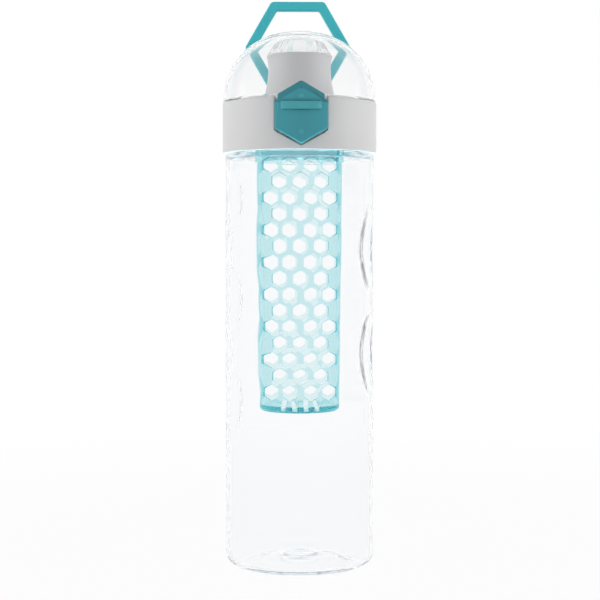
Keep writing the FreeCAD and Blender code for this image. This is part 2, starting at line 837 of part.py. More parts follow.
os.makedirs("parts", exist_ok=True)
for maker in makers:
    shape = maker()
    node = maker.__name__
    state = "valid" if shape.isValid() else "not valid"
    print(node, len(shape.Solids), "solid", state, round(shape.Volume, 1))
    shape.exportStep("parts/" + node + ".step")
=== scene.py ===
import bpy
import bmesh
import json
import math
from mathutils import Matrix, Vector


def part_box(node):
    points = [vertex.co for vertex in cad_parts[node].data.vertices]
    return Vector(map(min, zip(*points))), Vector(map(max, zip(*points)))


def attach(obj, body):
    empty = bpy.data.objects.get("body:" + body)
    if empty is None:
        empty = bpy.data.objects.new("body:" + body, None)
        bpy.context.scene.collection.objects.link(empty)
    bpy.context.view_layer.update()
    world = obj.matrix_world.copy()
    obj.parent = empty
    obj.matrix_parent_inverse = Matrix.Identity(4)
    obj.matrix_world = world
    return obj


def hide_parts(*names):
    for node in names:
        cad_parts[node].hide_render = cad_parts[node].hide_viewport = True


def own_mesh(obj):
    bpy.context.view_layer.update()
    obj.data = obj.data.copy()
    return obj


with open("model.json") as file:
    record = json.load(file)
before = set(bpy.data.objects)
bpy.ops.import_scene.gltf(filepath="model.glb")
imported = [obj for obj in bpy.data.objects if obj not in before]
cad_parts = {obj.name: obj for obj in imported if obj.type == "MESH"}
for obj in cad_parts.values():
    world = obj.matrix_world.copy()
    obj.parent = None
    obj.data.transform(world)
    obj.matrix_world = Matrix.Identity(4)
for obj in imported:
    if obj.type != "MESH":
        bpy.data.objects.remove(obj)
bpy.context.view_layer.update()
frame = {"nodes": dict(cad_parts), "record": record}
mm = 0.001
fullTurn = 2 * math.pi


# Node trees

def addNode(tree, kind, place=(0, 0), **settings):
    node = tree.nodes.new(kind)
    node.location = place
    for name, value in settings.items():
        setattr(node, name, value)
    return node


def newGroup(name, inputs, outputs):
    group = bpy.data.node_groups.new(name, "ShaderNodeTree")
    for label, kind, value in inputs:
        socket = group.interface.new_socket(name=label, in_out="INPUT", socket_type=kind)
        socket.default_value = value
    for label, kind in outputs:
        group.interface.new_socket(name=label, in_out="OUTPUT", socket_type=kind)
    return group, addNode(group, "NodeGroupInput", (-800, 0)), addNode(group, "NodeGroupOutput", (600, 0))


def makeMouldGrain():
    # fine spark-eroded grain of a satin moulding, with a slow drift of tone
    inputs = [("Grain Size", "NodeSocketFloat", 4000.0), ("Drift Size", "NodeSocketFloat", 40.0)]
    outputs = [("Height", "NodeSocketFloat"), ("Drift", "NodeSocketFloat")]
    group, start, end = newGroup("mouldGrain", inputs, outputs)
    coords = addNode(group, "ShaderNodeTexCoord", (-800, -250))
    grain = addNode(group, "ShaderNodeTexNoise", (-400, 100))
    drift = addNode(group, "ShaderNodeTexNoise", (-400, -250))
    grain.inputs["Detail"].default_value = 2.0
    drift.inputs["Detail"].default_value = 3.0
    link = group.links.new
    link(coords.outputs["Object"], grain.inputs["Vector"])
    link(coords.outputs["Object"], drift.inputs["Vector"])
    link(start.outputs["Grain Size"], grain.inputs["Scale"])
    link(start.outputs["Drift Size"], drift.inputs["Scale"])
    link(grain.outputs["Fac"], end.inputs["Height"])
    link(drift.outputs["Fac"], end.inputs["Drift"])
    return group


mouldGrain = makeMouldGrain()


def blankMaterial(name):
    material = bpy.data.materials.new(name)
    material.use_nodes = True
    tree = material.node_tree
    tree.nodes.clear()
    return material, tree, addNode(tree, "ShaderNodeOutputMaterial", (900, 0))


grainLook = {
    "roughSwing": 0.06,
    "bumpStrength": 0.12,
    "bumpDepth": 0.05,
}


def satinPlastic(name, colour, darker, roughness, grain):
    material, tree, output = blankMaterial(name)
    shader = addNode(tree, "ShaderNodeBsdfPrincipled", (500, 0))
    effect = addNode(tree, "ShaderNodeGroup", (-500, 0), node_tree=mouldGrain)
    effect.inputs["Grain Size"].default_value = grain
    tone = addNode(tree, "ShaderNodeMix", (-100, 150), data_type="RGBA")
    tone.inputs[6].default_value = (*colour, 1)
    tone.inputs[7].default_value = (*darker, 1)
    rough = addNode(tree, "ShaderNodeMapRange", (-100, -150))
    rough.inputs["To Min"].default_value = roughness - grainLook["roughSwing"]
    rough.inputs["To Max"].default_value = roughness + grainLook["roughSwing"]
    bump = addNode(tree, "ShaderNodeBump", (200, -300))
    bump.inputs["Strength"].default_value = grainLook["bumpStrength"]
    bump.inputs["Distance"].default_value = grainLook["bumpDepth"] * mm
    link = tree.links.new
    link(effect.outputs["Drift"], tone.inputs[0])
    link(effect.outputs["Drift"], rough.inputs["Value"])
    link(effect.outputs["Height"], bump.inputs["Height"])
    link(tone.outputs[2], shader.inputs["Base Color"])
    link(rough.outputs["Result"], shader.inputs["Roughness"])
    link(bump.outputs["Normal"], shader.inputs["Normal"])
    link(shader.outputs["BSDF"], output.inputs["Surface"])
    return material


longestPath = 5.0  # turns after which caught light goes straight on
coatIor = 1.58


def clearPlastic(name, tint, roughness, ior, absorbed=None, density=0.0, clear=1.0, coat=0.0):
    # lamps pass straight through to what is inside; the camera sees real refraction,
    # and light caught between the walls is let out after a number of turns
    material, tree, output = blankMaterial(name)
    shader = addNode(tree, "ShaderNodeBsdfPrincipled", (300, 100))
    shader.inputs["Base Color"].default_value = (*tint, 1)
    shader.inputs["Roughness"].default_value = roughness
    shader.inputs["IOR"].default_value = ior
    shader.inputs["Transmission Weight"].default_value = clear
    shader.inputs["Coat Weight"].default_value = coat
    shader.inputs["Coat Roughness"].default_value = 0.0
    shader.inputs["Coat IOR"].default_value = coatIor
    paths = addNode(tree, "ShaderNodeLightPath", (-100, -250))
    either = addNode(tree, "ShaderNodeMath", (150, -250), operation="MAXIMUM")
    caught = addNode(tree, "ShaderNodeMath", (150, -450), operation="GREATER_THAN")
    caught.inputs[1].default_value = longestPath
    passing = addNode(tree, "ShaderNodeMath", (350, -350), operation="MAXIMUM")
    through = addNode(tree, "ShaderNodeBsdfTransparent", (300, -150))
    through.inputs["Color"].default_value = (*tint, 1)
    mix = addNode(tree, "ShaderNodeMixShader", (650, 0))
    link = tree.links.new
    link(paths.outputs["Is Shadow Ray"], either.inputs[0])
    link(paths.outputs["Is Diffuse Ray"], either.inputs[1])
    link(paths.outputs["Ray Depth"], caught.inputs[0])
    link(either.outputs[0], passing.inputs[0])
    link(caught.outputs[0], passing.inputs[1])
    link(passing.outputs[0], mix.inputs[0])
    link(shader.outputs["BSDF"], mix.inputs[1])
    link(through.outputs["BSDF"], mix.inputs[2])
    link(mix.outputs["Shader"], output.inputs["Surface"])
    if absorbed:
        volume = addNode(tree, "ShaderNodeVolumeAbsorption", (650, -300))
        volume.inputs["Color"].default_value = (*absorbed, 1)
        volume.inputs["Density"].default_value = density
        link(volume.outputs["Volume"], output.inputs["Volume"])
    return material


steelLook = {
    "colour": (0.6, 0.61, 0.63),
    "grain": 2500.0,
    "roughness": (0.2, 0.38),
}


def brushedSteel(name):
    material, tree, output = blankMaterial(name)
    shader = addNode(tree, "ShaderNodeBsdfPrincipled", (500, 0))
    shader.inputs["Metallic"].default_value = 1.0
    shader.inputs["Base Color"].default_value = (*steelLook["colour"], 1)
    effect = addNode(tree, "ShaderNodeGroup", (-500, 0), node_tree=mouldGrain)
    effect.inputs["Grain Size"].default_value = steelLook["grain"]
    rough = addNode(tree, "ShaderNodeMapRange", (0, -150))
    rough.inputs["To Min"].default_value = steelLook["roughness"][0]
    rough.inputs["To Max"].default_value = steelLook["roughness"][1]
    tree.links.new(effect.outputs["Height"], rough.inputs["Value"])
    tree.links.new(rough.outputs["Result"], shader.inputs["Roughness"])
    tree.links.new(shader.outputs["BSDF"], output.inputs["Surface"])
    return material


tealTones = (0.04, 0.325, 0.385), (0.036, 0.295, 0.355)
tealRoughness = 0.38
tealGrain = 3500.0
finishes = {
    "clear_body": clearPlastic("clearBody", (0.985, 0.987, 0.992), 0.0, 1.14,
                               (0.78, 0.84, 0.89), 22.0, coat=0.4),
    "clear_cover": clearPlastic("clearCover", (0.994, 0.995, 0.997), 0.0, 1.06,
                                (0.82, 0.87, 0.92), 6.0, coat=0.8),
    "teal_clear": clearPlastic("tealClear", (0.88, 0.95, 0.955), 0.0, 1.2, (0.03, 0.758, 0.806), 84.0),
    "teal_plastic": satinPlastic("tealPlastic", *tealTones, tealRoughness, tealGrain),
    "grey_plastic": satinPlastic("greyPlastic", (0.67, 0.67, 0.675), (0.64, 0.64, 0.645), 0.42, 3000.0),
    "spout_silicone": clearPlastic("spoutSilicone", (1.0, 1.0, 1.0), 0.2, 1.25,
                                   (0.86, 0.88, 0.9), 4.0, clear=0.9),
    "seal_silicone": satinPlastic("sealSilicone", (0.82, 0.83, 0.83), (0.78, 0.79, 0.79), 0.6, 2500.0),
    "steel": brushedSteel("springSteel"),
}
# painted light: a brighter teal than the other teal parts, standing in for light shining through the loop
# from behind
loopPlastic = satinPlastic("loopPlastic", (0.045, 0.55, 0.62), (0.042, 0.52, 0.59), 0.36, tealGrain)
# a lighter copy of the teal: on the lock bar it is painted light, standing in for the bright lower bevel;
# the lock signs share it
barPlastic = satinPlastic("barPlastic", (0.06, 0.4, 0.46), (0.055, 0.37, 0.43), 0.36, tealGrain)
towerPlastic = satinPlastic("towerPlastic", (0.58, 0.58, 0.59), (0.55, 0.55, 0.56), 0.45, 3000.0)
# painted shade on the latch plate: the darker colour, and the heights between which it is painted
platePaintedShade = {
    "colour": (0.022, 0.225, 0.265),
    "topSlope": 0.577,
    "topEdge": (0.2153, 0.2157),
    "grooveTop": (0.2111, 0.2096),
    "grooveFoot": (0.2085, 0.2093),
}


def smoothRange(tree, place, ends):
    node = addNode(tree, "ShaderNodeMapRange", place, interpolation_type="SMOOTHSTEP")
    node.inputs["From Min"].default_value = ends[0]
    node.inputs["From Max"].default_value = ends[1]
    return node


def latchPaintedShadePlastic():
    # painted shade: the latch plate's colour is darkened on its tilted top and in the groove over the
    # slider, where shade falls
    material = satinPlastic("latchPaintedShadePlastic", *tealTones, tealRoughness, tealGrain)
    tree = material.node_tree
    coords = addNode(tree, "ShaderNodeTexCoord", (-900, 500))
    split = addNode(tree, "ShaderNodeSeparateXYZ", (-700, 500))
    side = addNode(tree, "ShaderNodeMath", (-500, 600), operation="ABSOLUTE")
    line = addNode(tree, "ShaderNodeMath", (-300, 600), operation="MULTIPLY_ADD")
    line.inputs[1].default_value = platePaintedShade["topSlope"]
    tilted = smoothRange(tree, (-100, 600), platePaintedShade["topEdge"])
    above = smoothRange(tree, (-300, 400), platePaintedShade["grooveTop"])
    below = smoothRange(tree, (-300, 200), platePaintedShade["grooveFoot"])
    # share of painted shade: the tilted top band, and the groove band over the slider
    groove = addNode(tree, "ShaderNodeMath", (-100, 300), operation="MULTIPLY")
    shade = addNode(tree, "ShaderNodeMath", (100, 450), operation="MAXIMUM")
    dark = addNode(tree, "ShaderNodeMix", (300, 300), data_type="RGBA")
    dark.inputs[7].default_value = (*platePaintedShade["colour"], 1)
    link = tree.links.new
    link(coords.outputs["Object"], split.inputs[0])
    link(split.outputs["X"], side.inputs[0])
    link(side.outputs[0], line.inputs[0])
    link(split.outputs["Z"], line.inputs[2])
    link(line.outputs[0], tilted.inputs["Value"])
    link(split.outputs["Z"], above.inputs["Value"])
    link(split.outputs["Z"], below.inputs["Value"])
    link(above.outputs["Result"], groove.inputs[0])
    link(below.outputs["Result"], groove.inputs[1])
    link(tilted.outputs["Result"], shade.inputs[0])
    link(groove.outputs[0], shade.inputs[1])
    link(shade.outputs[0], dark.inputs[0])
    link(tree.nodes["Mix"].outputs[2], dark.inputs[6])
    link(dark.outputs[2], tree.nodes["Principled BSDF"].inputs["Base Color"])
    return material


print("finishes made", len(finishes))

slotOf = {entry["node"]: entry["material_slot"] for entry in frame["record"]["subparts"]}
bodyOf = {node: body for body, nodes in frame["record"]["behaviour"]["bodies"].items() for node in nodes}
for name, node in frame["nodes"].items():
    node.data.materials.clear()
    node.data.materials.append(finishes[slotOf[name]])
print("nodes dressed", len(slotOf))


# Shared making; pieces are modelled in millimetres and brought to metres at the end

making = {
    "spinGap": 0.002,
    "joinGap": 0.004,
    "flatAngle": 0.6,
    "keenAngle": 32.0,
}


def newPiece(name, bm, node, sharp=35.0, finish=None, replaced=True):
    bmesh.ops.scale(bm, vec=(mm, mm, mm), verts=bm.verts)
    mesh = bpy.data.meshes.new(name)
    bm.to_mesh(mesh)
    bm.free()
    mesh.polygons.foreach_set("use_smooth", [True] * len(mesh.polygons))
    mesh.set_sharp_from_angle(angle=math.radians(sharp))
    mesh.materials.append(finish or finishes[slotOf[node]])
    piece = bpy.data.objects.new(name, mesh)
    bpy.context.scene.collection.objects.link(piece)
    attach(piece, bodyOf[node])
    if replaced:
        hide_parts(node)
    print(name, "made,", len(mesh.polygons), "faces")
    return piece


def turnedForm(points, rounds, steps, longest=None, closed=True, segments=5):
    # an outline of (radius, height) points, its corners rounded by number, spun about the bottle's axis
    bm = bmesh.new()
    corners = [bm.verts.new((radius, 0, height)) for radius, height in points]
    for first, second in zip(corners, corners[1:]):
        bm.edges.new((first, second))
    if closed:
        bm.edges.new((corners[-1], corners[0]))
    for number, size in rounds.items():
        bmesh.ops.bevel(bm, geom=[corners[number]], offset=size, offset_type="OFFSET", segments=segments,
                        profile=0.5, affect="VERTICES", material=-1)
    if longest:
        for edge in bm.edges[:]:
            cuts = math.ceil(edge.calc_length() / longest) - 1
            if cuts > 0:
                bmesh.ops.subdivide_edges(bm, edges=[edge], cuts=cuts)
    bmesh.ops.spin(bm, geom=bm.verts[:] + bm.edges[:], cent=(0, 0, 0), axis=(0, 0, 1), angle=fullTurn,
                   steps=steps, use_merge=True)
    bmesh.ops.remove_doubles(bm, verts=bm.verts, dist=making["spinGap"])
    bmesh.ops.recalc_face_normals(bm, faces=bm.faces)
    return bm


def mergedCopy(node):
    # the CAD solid in millimetres, with its triangles joined
    bm = bmesh.new()
    bm.from_mesh(frame["nodes"][node].data)
    bmesh.ops.scale(bm, vec=(1 / mm, 1 / mm, 1 / mm), verts=bm.verts)
    bmesh.ops.remove_doubles(bm, verts=bm.verts, dist=making["joinGap"])
    bmesh.ops.dissolve_limit(bm, angle_limit=math.radians(making["flatAngle"]), verts=bm.verts,
                             edges=bm.edges)
    return bm


def keenEdges(bm, sharp=making["keenAngle"]):
    return [edge for edge in bm.edges
            if len(edge.link_faces) == 2 and edge.calc_face_angle() > math.radians(sharp)]


def rollEdges(bm, edges, width, segments=2):
    bmesh.ops.bevel(bm, geom=edges, offset=width, offset_type="OFFSET", segments=segments, profile=0.5,
                    affect="EDGES", clamp_overlap=False, material=-1)
    bmesh.ops.remove_doubles(bm, verts=bm.verts, dist=making["joinGap"])
    bmesh.ops.dissolve_degenerate(bm, dist=making["joinGap"], edges=bm.edges)


def softenedCopy(node, width, segments=2):
    bm = mergedCopy(node)
    rollEdges(bm, keenEdges(bm), width, segments)
    return bm


def blendStep(value, low, high):
    share = min(max((value - low) / (high - low), 0.0), 1.0)
    return share * share * (3 - 2 * share)


# Bottle body: spun wall with soft thumb hollows, a thread on the neck and a marked base

bottle = {
    "wall": 2.0,
    "footInner": 24.5,
    "footOuter": 27.5,
    "footRound": 6.5,
    "pushUp": 2.2,
    "pushUpShares": (0.75, 0.87),
    "shoulder": 188.4,
    "shoulderRound": 0.6,
    "neckRadius": 27.5,
    "neckWall": 2.2,
    "neckNear": 0.05,
    "row": 1.4,
    "steps": 192,
    "dimpleColumns": 6,
    "dimpleTurn": 15.0,
    "dimpleRows": 3,
    "dimplePitch": 47.0,
    "dimpleMiddle": 121.4,
    "dimpleRadius": 48.0,
    "dimpleDepth": 3.2,
    "dimpleSoft": 1.8,
    "dimpleSwing": 1.0,
    "threadPitch": 4.0,
    "threadDepth": 0.85,
    "threadWidth": 1.5,
    "threadLow": 191.5,
    "threadHigh": 202.5,
    "threadFade": 1.0,
    "discRadius": 9.0,
    "discSlope": 1.5,
    "discRise": 1.2,
    "ovalPlace": 20.5,
    "ovalHalf": (3.9, 3.0),
    "ovalRise": 0.7,
    "ovalFlat": 0.55,
    "rounds": {1: 5.0, 2: 1.0, 6: 0.8, 7: 0.5, 8: 0.5, 9: 1.0, 10: 1.0, 13: 2.0, 14: 0.8, 15: 0.8},
}


def dimpleCentres():
    centres = []
    for column in range(bottle["dimpleColumns"]):
        angle = math.radians(bottle["dimpleTurn"] + 360 * column / bottle["dimpleColumns"] - 90)
        rows = bottle["dimpleRows"] - column % 2
        for row in range(rows):
            centres.append((angle, bottle["dimpleMiddle"] + bottle["dimplePitch"] * (row - (rows - 1) / 2)))
    return centres


def dimpledRadius(radius, angle, height, centres, outside, wall):
    # the wall pressed in by round balls, with a soft roll where ball and wall meet
    reach = outside - bottle["dimpleDepth"] + bottle["dimpleRadius"]
    ball = bottle["dimpleRadius"] + wall
    soft = bottle["dimpleSoft"]
    for centre, middle in centres:
        swing = math.remainder(angle - centre, fullTurn)
        inside = ball ** 2 - (reach * math.sin(swing)) ** 2 - (height - middle) ** 2
        if abs(swing) < bottle["dimpleSwing"] and inside > 0:
            hollow = reach * math.cos(swing) - math.sqrt(inside)
            share = min(max(0.5 + 0.5 * (radius - hollow) / soft, 0.0), 1.0)
            radius = radius + (hollow - radius) * share - soft * share * (1 - share)
    return radius


def threadRise(angle, height):
    if not bottle["threadLow"] < height < bottle["threadHigh"]:
        return 0.0
    ends = min(height - bottle["threadLow"], bottle["threadHigh"] - height)
    along = (height - bottle["threadLow"]) / bottle["threadPitch"] - angle / fullTurn
    away = abs(math.remainder(along, 1.0)) * bottle["threadPitch"]
    ridge = 1 - blendStep(away, bottle["threadWidth"] / 4, bottle["threadWidth"] / 2)
    return bottle["threadDepth"] * ridge * blendStep(ends, 0.0, bottle["threadFade"])


def makeBottle():
    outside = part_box("bottle_body")[1][0] / mm
    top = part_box("bottle_body")[1][2] / mm
    wall = bottle["wall"]
    neck = bottle["neckRadius"]
    bore = neck - bottle["neckWall"]
    shoulder = bottle["shoulder"]
    pushUp = bottle["pushUp"]
    disc = bottle["discRadius"]
    halfway, underDisc = (pushUp * share for share in bottle["pushUpShares"])
    points = [
        (0, pushUp),
        (bottle["footInner"] / 2, halfway),
        (bottle["footInner"], 0),
        (bottle["footOuter"], 0),
        (outside, 0),
        (outside, shoulder),
        (neck, shoulder),
        (neck, top),
        (bore, top),
        (bore, shoulder - wall),
        (outside - wall, shoulder - wall),
        (outside - wall, wall),
        (bottle["footInner"], wall),
        (bottle["footInner"] / 2, halfway + wall),
        (disc, underDisc + wall),
        (disc - bottle["discSlope"], pushUp + wall + bottle["discRise"]),
        (0, pushUp + wall + bottle["discRise"]),
    ]
    rounds = {**bottle["rounds"], 4: bottle["footRound"], 5: bottle["shoulderRound"],
              11: bottle["footRound"] - wall}
    rounds = dict(sorted(rounds.items()))
    bm = turnedForm(points, rounds, bottle["steps"], bottle["row"], closed=False, segments=8)
    centres = dimpleCentres()
    for vert in bm.verts:
        x, y, z = vert.co
        radius = math.hypot(x, y)
        angle = math.atan2(y, x)
        moved = radius
        if bottle["footRound"] < z < shoulder - bottle["shoulderRound"]:
            inner = wall if radius < outside - wall / 2 else 0.0
            moved = dimpledRadius(radius, angle, z, centres, outside, inner)
        elif abs(radius - neck) < bottle["neckNear"]:
            moved = radius + threadRise(angle, z)
        if moved != radius:
            vert.co.x = x * moved / radius
            vert.co.y = y * moved / radius
        half = bottle["ovalHalf"]
        away = math.hypot((x - bottle["ovalPlace"]) / half[0], y / half[1])
        if wall / 2 < z < 2 * wall and away < 1:
            vert.co.z += bottle["ovalRise"] * (1 - blendStep(away, bottle["ovalFlat"], 1.0))
    return newPiece("bottleBody", bm, "bottle_body", sharp=80)


makeBottle()


# Lid: cap with the spout tower, rounded at its lips

cap = {
    "skirtBore": 28.9,
    "skirtRadius": 30.5,
    "skirtBottom": 189.4,
    "deckBottom": 209.8,
    "deckTop": 212.8,
    "lip": 1.6,
    "shelfRadius": 32.6,
    "lipRadius": 28.7,
    "towerBase": 16.3,
    "towerFoot": 1.6,
    "towerWaist": 14.3,
    "towerLip": 15.2,
    "waistDrop": 5.6,
    "towerWall": 2.4,
    "spoutHole": 8.2,
    "baseGap": 0.1,
    "riseSteps": 10,
    "flareSteps": 6,
    "rounds": {0: 0.3, 1: 0.3, 6: 0.15, 7: 0.5},
    "lipRounds": (0.6, 0.3),
    "steps": 160,
}


def sagCurve(start, waist, count):
    # from start to an upright waist, as a parabola
    points = []
    for step in range(count):
        share = step / count
        height = start[1] + (waist[1] - start[1]) * share
        points.append((waist[0] + (start[0] - waist[0]) * (1 - share) ** 2, height))
    return points


def makeCap():
    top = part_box("lid_body")[1][2] / mm
    deck = cap["deckTop"]
    shelf = deck - cap["lip"]
    waist = (cap["towerWaist"], top - cap["waistDrop"])
    ceiling = top - cap["towerWall"]
    rise = sagCurve((cap["towerBase"], deck + cap["towerFoot"]), waist, cap["riseSteps"])
    flare = sagCurve((cap["towerLip"], top), waist, cap["flareSteps"])[::-1]
    skirtAndDeck = [
        (cap["skirtBore"], cap["skirtBottom"]),
        (cap["skirtRadius"], cap["skirtBottom"]),
        (cap["skirtRadius"], shelf - cap["lip"]),
        (cap["shelfRadius"], shelf - cap["lip"]),
        (cap["shelfRadius"], shelf),
        (cap["lipRadius"], shelf),
        (cap["lipRadius"], deck),
        (cap["towerBase"] + cap["baseGap"], deck),
    ]
    inside = [
        (cap["spoutHole"], top),
        (cap["spoutHole"], ceiling),
        (cap["towerWaist"] - cap["towerWall"], ceiling),
        (cap["towerWaist"] - cap["towerWall"], waist[1]),
        (cap["towerBase"] - cap["towerWall"], cap["deckBottom"]),
        (cap["skirtBore"], cap["deckBottom"]),
    ]
    points = skirtAndDeck + rise + [waist] + flare + inside
    lip = len(skirtAndDeck) + len(rise) + len(flare)
    outerRound, innerRound = cap["lipRounds"]
    bm = turnedForm(points, {**cap["rounds"], lip: outerRound, lip + 1: innerRound}, cap["steps"])
    return newPiece("capAndTower", bm, "lid_body", finish=towerPlastic)


makeCap()


# Collar with its pocket, and the latch plate that rocks in it

latch = {
    "collarRadius": 35.2,
    "pocketHalf": 12.4,
    "pocketBottom": 189.8,
    "pocketBelow": 1.0,
    "pocketTop": 211.2,
    "pocketSide": 12.3,
    "sideFoot": 196.8,
    "closedSide": 11.68,
    "pocketRoll": 0.15,
    "frontFrom": -30.0,
    "behindHalf": 14.0,
    "behindFrom": -20.0,
    "behindDepth": 0.3,
    "near": 0.05,
    "nearRound": 0.06,
    "plateRadius": 38.2,
    "plateHalf": 11.65,
    "sideRoll": 1.4,
    "fineRoll": 0.3,
    "barRadius": 39.9,
    "barTop": 209.28,
    "barTopRadius": 38.75,
    "barEndShare": 0.84,
    "barKeen": 25.0,
    "barRoll": 0.18,
}


def middleOf(edge):
    return (edge.verts[0].co + edge.verts[1].co) / 2


def insidePocket(edge):
    # behind the plate, where no roll is seen
    spot = middleOf(edge)
    inPlace = spot.y < latch["behindFrom"] and abs(spot.x) < latch["behindHalf"]
    return inPlace and math.hypot(spot.x, spot.y) < latch["collarRadius"] - latch["behindDepth"]


def onRound(spot, radius):
    return abs(math.hypot(spot.x, spot.y) - radius) < latch["nearRound"]


def makeCollar():
    # the pocket's sides are drawn in to the plate, along the round they are on
    bm = mergedCopy("lid_collar")
    for vert in bm.verts:
        x, y, z = vert.co
        onSide = abs(abs(x) - latch["pocketSide"]) < latch["near"]
        if onSide and y < latch["frontFrom"] and z > latch["sideFoot"]:
            vert.co.x = math.copysign(latch["closedSide"], x)
            vert.co.y = -math.sqrt(x * x + y * y - vert.co.x ** 2)
    rim = []
    for edge in keenEdges(bm):
        spot = middleOf(edge)
        inHeight = latch["pocketBottom"] - latch["pocketBelow"] < spot.z < latch["pocketTop"]
        inPocket = inHeight and abs(spot.x) < latch["pocketHalf"] and spot.y < 0
        if inPocket and onRound(spot, latch["collarRadius"]):
            rim.append(edge)
    rollEdges(bm, rim, latch["pocketRoll"], segments=4)
    rollEdges(bm, [edge for edge in keenEdges(bm) if not insidePocket(edge)], latch["fineRoll"])
    return newPiece("collar", bm, "lid_collar")


def makeLatchPlate():
    bm = mergedCopy("latch_button")
    sides = []
    for edge in keenEdges(bm):
        spot = middleOf(edge)
        upright = abs(edge.verts[0].co.x - edge.verts[1].co.x) < latch["near"]
        onSide = abs(abs(spot.x) - latch["plateHalf"]) < latch["near"]
        if upright and onSide and onRound(spot, latch["plateRadius"]):
            sides.append(edge)
    rollEdges(bm, sides, latch["sideRoll"], segments=5)
    rollEdges(bm, keenEdges(bm), latch["fineRoll"], segments=3)
    return newPiece("latchPlate", bm, "latch_button", finish=latchPaintedShadePlastic())


def makeLockBar():
    # a thumb ledge: flush at its top, proud at its bottom, with ramps at both ends
    bm = mergedCopy("lock_slider")
    for vert in bm.verts:
        radius = math.hypot(vert.co.x, vert.co.y)
        if radius > latch["barRadius"] - latch["near"]:
            vert.co.x *= latch["barEndShare"]
            onTop = vert.co.z > latch["barTop"] - latch["near"]
            wanted = latch["barTopRadius"] if onTop else latch["barRadius"]
            vert.co.y = -math.sqrt(wanted ** 2 - vert.co.x ** 2)
    rollEdges(bm, keenEdges(bm, latch["barKeen"]), latch["barRoll"])
    # the bar's lighter teal is painted light for its bright lower bevel
    return newPiece("lockBar", bm, "lock_slider", finish=barPlastic)


sign = {
    "width": 2.0,
    "height": 1.5,
    "rise": 0.14,
    "bow": (0.45, 0.75),
    "legs": {"lockSign": 0.35, "openSign": 0.75},
    "bowSteps": 12,
    "heights": {"lockSign": 196.0, "openSign": 211.6},
    "sink": 0.03,
}


def makeLockSign(name):
    # a plain padlock sign, thinly raised on the plate
    rise = sign["rise"]
    inner, outer = sign["bow"]
    bm = bmesh.new()
    bmesh.ops.create_grid(bm, x_segments=6, y_segments=1, size=0.5)
    bmesh.ops.scale(bm, vec=(sign["width"], sign["height"], 1), verts=bm.verts)
    slab = bmesh.ops.extrude_face_region(bm, geom=bm.faces[:])["geom"]
    raised = [part for part in slab if isinstance(part, bmesh.types.BMVert)]
    bmesh.ops.translate(bm, verts=raised, vec=(0, 0, rise))
    corners = [(inner, 0), (outer, 0), (outer, rise), (inner, rise)]
    face = bm.faces.new([bm.verts.new((x, sign["height"] / 2, z)) for x, z in corners])
    lifted = bmesh.ops.extrude_face_region(bm, geom=[face])["geom"]
    top = [part for part in lifted if isinstance(part, bmesh.types.BMVert)]
    bmesh.ops.translate(bm, verts=top, vec=(0, sign["legs"][name], 0))
    ends = [part for part in lifted if isinstance(part, bmesh.types.BMFace)]
    edges = [edge for part in ends for edge in part.edges]
    bmesh.ops.spin(bm, geom=ends + edges + top, cent=(0, top[0].co.y, 0), axis=(0, 0, 1), angle=math.pi,
                   steps=sign["bowSteps"])
    bmesh.ops.recalc_face_normals(bm, faces=bm.faces)
    for vert in bm.verts:
        x, up, out = vert.co
        radius = latch["plateRadius"] + out
        vert.co = (x, sign["sink"] - math.sqrt(radius ** 2 - x * x), sign["heights"][name] + up)
    return newPiece(name, bm, "latch_button", finish=barPlastic, replaced=False)


carryLoop = {
    "roll": 0.3,
}
makeCollar()
makeLatchPlate()
makeLockBar()
makeLockSign("lockSign")
makeLockSign("openSign")
# the carry loop's brighter teal is painted light
newPiece("carryLoop", softenedCopy("carry_loop", carryLoop["roll"]), "carry_loop", finish=loopPlastic)


# Infuser basket: the holes drawn in a little, their edges well rolled

basket = {
    "reach": 18.3,
    "halfCount": 6,
    "drawnReach": 0.75,
    "flats": 7.0,
    "drawnFlats": 6.2,
    "firstRow": 80.2,
    "rowPitch": 7.3612,
    "rows": 15,
    "roll": 0.45,
    "spread": 0.025,
    "bandFoot": 185.0,
    "bandTop": 192.0,
    "stepNear": 0.5,
    "stepSlope": 0.3,
    "middleHalf": 0.3,
    "middleBelow": 4.0,
    "near": 0.02,
}


def holeCentres():
    centres = []
    for row in range(basket["rows"]):
        shift = 0.0 if row % 2 else 0.5
        for step in range(-2, 3):
            x = basket["reach"] * math.sin(math.pi / basket["halfCount"] * (step + shift))
            if abs(x) < basket["reach"] * basket["drawnReach"]:
                centres.append((x, basket["firstRow"] + basket["rowPitch"] * row))
    return centres


def flatsAcross(x, z):
    # size of the upright hexagon through a point, over its flats
    return 2 * max(abs(x), abs(x) / 2 + abs(z) * math.sqrt(3) / 2)


def onBandStep(edge):
    # the small step under the plain band stays keen, so that it draws no dark line
    drop = abs(edge.verts[0].co.z - edge.verts[1].co.z)
    close = abs(middleOf(edge).z - basket["bandFoot"]) < basket["stepNear"]
    return close and drop < basket["stepSlope"] * edge.calc_length()


def onMiddleLine(edge, low, high):
    # corners of holes on the tube's middle line stay keen
    spot = middleOf(edge)
    return abs(spot.x) <= basket["middleHalf"] and low - basket["middleBelow"] < spot.z < high


